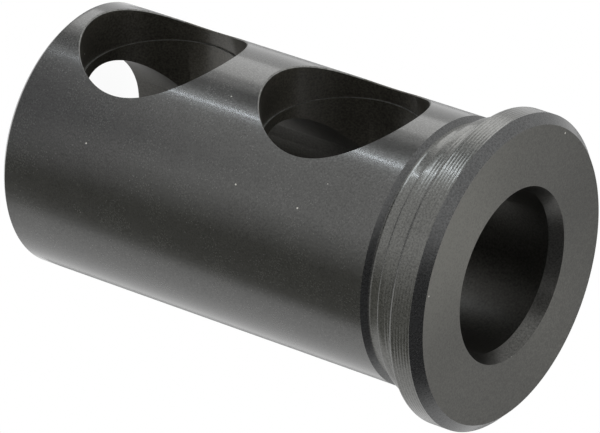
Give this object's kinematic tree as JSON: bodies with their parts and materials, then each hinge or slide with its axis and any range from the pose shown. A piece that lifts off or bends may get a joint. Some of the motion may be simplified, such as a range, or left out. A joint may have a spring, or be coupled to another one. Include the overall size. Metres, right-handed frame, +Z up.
{
  "type": "tool holder bushing",
  "caption": "Flanged steel reducing bushing that seats a round shank tool in a larger turret bore, with cross holes through both walls for the clamping screws.",
  "frame": {"origin": "centre of the plain rear face, on the bore axis", "axes": "+Z up the bore axis towards the head, cross holes along Y"},
  "size_m": [0.037, 0.037, 0.0603],
  "materials": {
    "black_steel": "satin black oxide over ground and turned steel"
  },
  "bodies": {
    "root": {"bushing": "black_steel"}
  },
  "joints": []
}
